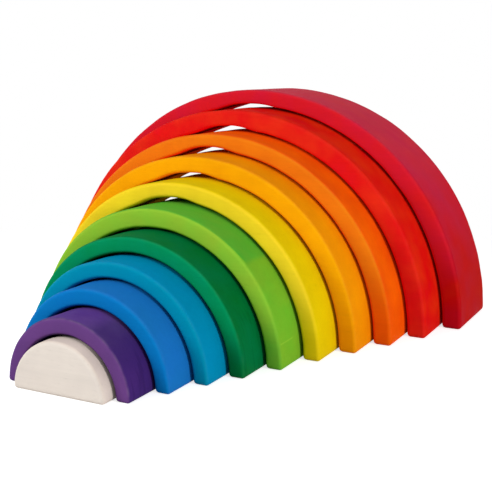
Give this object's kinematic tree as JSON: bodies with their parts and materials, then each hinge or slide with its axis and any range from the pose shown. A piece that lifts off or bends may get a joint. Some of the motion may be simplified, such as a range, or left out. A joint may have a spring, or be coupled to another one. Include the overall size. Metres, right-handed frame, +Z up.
{
  "type": "stacking rainbow",
  "caption": "Stacking rainbow of stained solid-wood half-ring arches over a natural half-round core, drawn out like a staircase; each piece slides forward or nests flush.",
  "frame": {"origin": "on the floor under the middle of the whole set's outline, as drawn out in the picture", "axes": "+X across the arches to the right seen from the front, +Z up, -Y towards the front where the core stands and +Y towards the crimson arch at the back"},
  "size_m": [0.35, 0.323, 0.175],
  "materials": {
    "core_wood": "bare sanded lime wood, matte",
    "violet_wood": "sanded lime wood with violet water stain, satin",
    "blue_wood": "sanded lime wood with blue water stain, satin",
    "turquoise_wood": "sanded lime wood with turquoise water stain, satin",
    "dark_green_wood": "sanded lime wood with dark green water stain, satin",
    "light_green_wood": "sanded lime wood with light green water stain, satin",
    "yellow_wood": "sanded lime wood with yellow water stain, satin",
    "amber_wood": "sanded lime wood with amber water stain, satin",
    "orange_wood": "sanded lime wood with orange water stain, satin",
    "red_wood": "sanded lime wood with red water stain, satin",
    "crimson_wood": "sanded lime wood with crimson water stain, satin"
  },
  "bodies": {
    "crimson_arch": {"arch_crimson": "crimson_wood"},
    "red_arch": {"arch_red": "red_wood"},
    "orange_arch": {"arch_orange": "orange_wood"},
    "amber_arch": {"arch_amber": "amber_wood"},
    "yellow_arch": {"arch_yellow": "yellow_wood"},
    "light_green_arch": {"arch_light_green": "light_green_wood"},
    "dark_green_arch": {"arch_dark_green": "dark_green_wood"},
    "turquoise_arch": {"arch_turquoise": "turquoise_wood"},
    "blue_arch": {"arch_blue": "blue_wood"},
    "violet_arch": {"arch_violet": "violet_wood"},
    "core": {"half_round_core": "core_wood"}
  },
  "joints": [
    {"name": "core_slide", "type": "slide", "parent": "crimson_arch", "child": "core", "axis": [0, -1, 0], "range_m": [-0.253, 0.07]},
    {"name": "violet_slide", "type": "slide", "parent": "crimson_arch", "child": "violet_arch", "axis": [0, -1, 0], "range_m": [-0.244, 0.07]},
    {"name": "blue_slide", "type": "slide", "parent": "crimson_arch", "child": "blue_arch", "axis": [0, -1, 0], "range_m": [-0.22, 0.07]},
    {"name": "turquoise_slide", "type": "slide", "parent": "crimson_arch", "child": "turquoise_arch", "axis": [0, -1, 0], "range_m": [-0.196, 0.07]},
    {"name": "dark_green_slide", "type": "slide", "parent": "crimson_arch", "child": "dark_green_arch", "axis": [0, -1, 0], "range_m": [-0.174, 0.07]},
    {"name": "light_green_slide", "type": "slide", "parent": "crimson_arch", "child": "light_green_arch", "axis": [0, -1, 0], "range_m": [-0.148, 0.07]},
    {"name": "yellow_slide", "type": "slide", "parent": "crimson_arch", "child": "yellow_arch", "axis": [0, -1, 0], "range_m": [-0.12, 0.07]},
    {"name": "amber_slide", "type": "slide", "parent": "crimson_arch", "child": "amber_arch", "axis": [0, -1, 0], "range_m": [-0.092, 0.07]},
    {"name": "orange_slide", "type": "slide", "parent": "crimson_arch", "child": "orange_arch", "axis": [0, -1, 0], "range_m": [-0.064, 0.07]},
    {"name": "red_slide", "type": "slide", "parent": "crimson_arch", "child": "red_arch", "axis": [0, -1, 0], "range_m": [-0.035, 0.07]}
  ]
}
